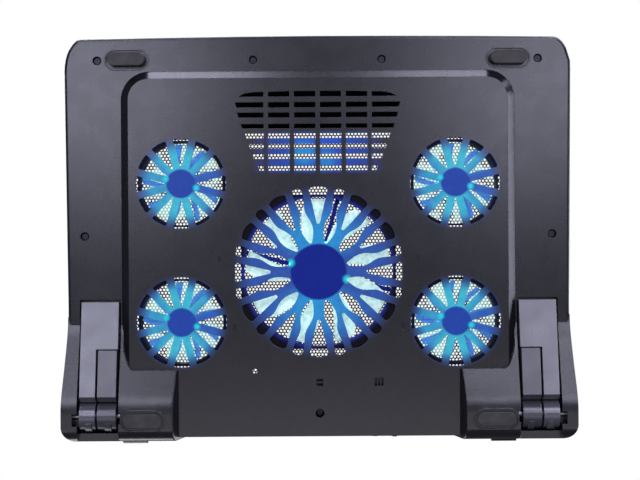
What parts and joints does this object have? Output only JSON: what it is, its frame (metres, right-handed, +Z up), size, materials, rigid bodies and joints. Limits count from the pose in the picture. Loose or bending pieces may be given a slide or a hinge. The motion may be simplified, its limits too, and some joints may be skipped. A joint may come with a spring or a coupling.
{
  "type": "laptop cooling pad",
  "caption": "Slim wedge-shaped laptop cooling stand with round fan grilles, a perforated deck, LED-lit fans, fold-out rear legs, rubber feet and flip-up stoppers.",
  "frame": {"origin": "centre of the footprint on the desk plane, the feet stand on Z = 0", "axes": "+X to the user's right, +Y away from the user, +Z up; the casing leans 2.56 degrees up towards the rear"},
  "size_m": [0.3966, 0.3163, 0.0385],
  "materials": {
    "casing": "fine moulded texture, dark blue-grey",
    "leg_plastic": "fine moulded texture, mid grey",
    "rubber": "matte rubber",
    "mesh": "black powder coat on perforated steel",
    "fan_plastic": "black moulded frame",
    "fan_blade": "frosted translucent blades",
    "led": "clear lens, lit blue",
    "steel": "plated steel",
    "bronze": "sintered sleeve",
    "copper_iron": "laminated core with enamelled wire",
    "board": "solder mask",
    "black_plastic": "satin",
    "cable": "soft sleeve"
  },
  "bodies": {
    "root": {"bottom_shell": "casing", "top_frame": "casing", "mesh_panel": "mesh", "front_left_foot": "rubber", "front_right_foot": "rubber", "rear_left_foot": "rubber", "rear_right_foot": "rubber", "left_leg_pin": "steel", "left_stopper_pin": "steel", "right_leg_pin": "steel", "right_stopper_pin": "steel", "center_fan_frame": "fan_plastic", "center_fan_stator": "copper_iron", "center_fan_bearing": "bronze", "center_fan_leds": "led", "front_left_fan_frame": "fan_plastic", "front_left_fan_stator": "copper_iron", "front_left_fan_bearing": "bronze", "front_left_fan_leds": "led", "front_right_fan_frame": "fan_plastic", "front_right_fan_stator": "copper_iron", "front_right_fan_bearing": "bronze", "front_right_fan_leds": "led", "rear_left_fan_frame": "fan_plastic", "rear_left_fan_stator": "copper_iron", "rear_left_fan_bearing": "bronze", "rear_left_fan_leds": "led", "rear_right_fan_frame": "fan_plastic", "rear_right_fan_stator": "copper_iron", "rear_right_fan_bearing": "bronze", "rear_right_fan_leds": "led", "control_board": "board", "usb_port_in": "steel", "usb_port_out": "steel", "switch_body": "black_plastic", "speed_pot": "black_plastic", "wiring_harness": "cable", "case_screws": "steel", "fan_screws": "steel"},
    "center_fan_rotor": {"center_fan_impeller": "fan_blade", "center_fan_shaft": "steel"},
    "front_left_fan_rotor": {"front_left_fan_impeller": "fan_blade", "front_left_fan_shaft": "steel"},
    "front_right_fan_rotor": {"front_right_fan_impeller": "fan_blade", "front_right_fan_shaft": "steel"},
    "rear_left_fan_rotor": {"rear_left_fan_impeller": "fan_blade", "rear_left_fan_shaft": "steel"},
    "rear_right_fan_rotor": {"rear_right_fan_impeller": "fan_blade", "rear_right_fan_shaft": "steel"},
    "left_long_leg": {"left_long_leg": "leg_plastic"},
    "left_short_leg": {"left_short_leg": "leg_plastic"},
    "right_long_leg": {"right_long_leg": "leg_plastic"},
    "right_short_leg": {"right_short_leg": "leg_plastic"},
    "left_stopper": {"left_stopper": "casing", "left_stopper_pad": "rubber"},
    "right_stopper": {"right_stopper": "casing", "right_stopper_pad": "rubber"},
    "speed_dial": {"speed_dial": "black_plastic"},
    "led_button": {"led_button": "black_plastic"}
  },
  "joints": [
    {"name": "center_fan_spin", "type": "hinge", "parent": "root", "child": "center_fan_rotor", "pos_m": [0, 0.02604, 0.01861], "axis": [0, -0.0447, 0.999], "continuous": true},
    {"name": "front_left_fan_spin", "type": "hinge", "parent": "root", "child": "front_left_fan_rotor", "pos_m": [-0.1064, -0.04279, 0.01553], "axis": [0, -0.0447, 0.999], "continuous": true},
    {"name": "front_right_fan_spin", "type": "hinge", "parent": "root", "child": "front_right_fan_rotor", "pos_m": [0.1064, -0.04279, 0.01553], "axis": [0, -0.0447, 0.999], "continuous": true},
    {"name": "rear_left_fan_spin", "type": "hinge", "parent": "root", "child": "rear_left_fan_rotor", "pos_m": [-0.1064, 0.06471, 0.02034], "axis": [0, -0.0447, 0.999], "continuous": true},
    {"name": "rear_right_fan_spin", "type": "hinge", "parent": "root", "child": "rear_right_fan_rotor", "pos_m": [0.1064, 0.06471, 0.02034], "axis": [0, -0.0447, 0.999], "continuous": true},
    {"name": "left_long_leg_fold", "type": "hinge", "parent": "root", "child": "left_long_leg", "pos_m": [-0.1783, 0.13703, 0.01237], "axis": [1, 0, 0], "range_deg": [0, 100]},
    {"name": "left_short_leg_fold", "type": "hinge", "parent": "root", "child": "left_short_leg", "pos_m": [-0.1634, 0.13703, 0.01237], "axis": [1, 0, 0], "range_deg": [0, 100]},
    {"name": "right_long_leg_fold", "type": "hinge", "parent": "root", "child": "right_long_leg", "pos_m": [0.1783, 0.13703, 0.01237], "axis": [1, 0, 0], "range_deg": [0, 100]},
    {"name": "right_short_leg_fold", "type": "hinge", "parent": "root", "child": "right_short_leg", "pos_m": [0.1634, 0.13703, 0.01237], "axis": [1, 0, 0], "range_deg": [0, 100]},
    {"name": "left_stopper_flip", "type": "hinge", "parent": "root", "child": "left_stopper", "pos_m": [-0.088, -0.14657, 0.0218], "axis": [1, 0, 0], "range_deg": [0, 90]},
    {"name": "right_stopper_flip", "type": "hinge", "parent": "root", "child": "right_stopper", "pos_m": [0.088, -0.14657, 0.0218], "axis": [1, 0, 0], "range_deg": [0, 90]},
    {"name": "speed_dial_turn", "type": "hinge", "parent": "root", "child": "speed_dial", "pos_m": [0.0586, 0.14678, 0.02502], "axis": [0, -0.0447, 0.999], "range_deg": [0, 270]},
    {"name": "led_button_press", "type": "slide", "parent": "root", "child": "led_button", "axis": [0, -0.999, -0.0447], "range_m": [0, 0.0012], "stiffness_N_per_m": 400}
  ]
}
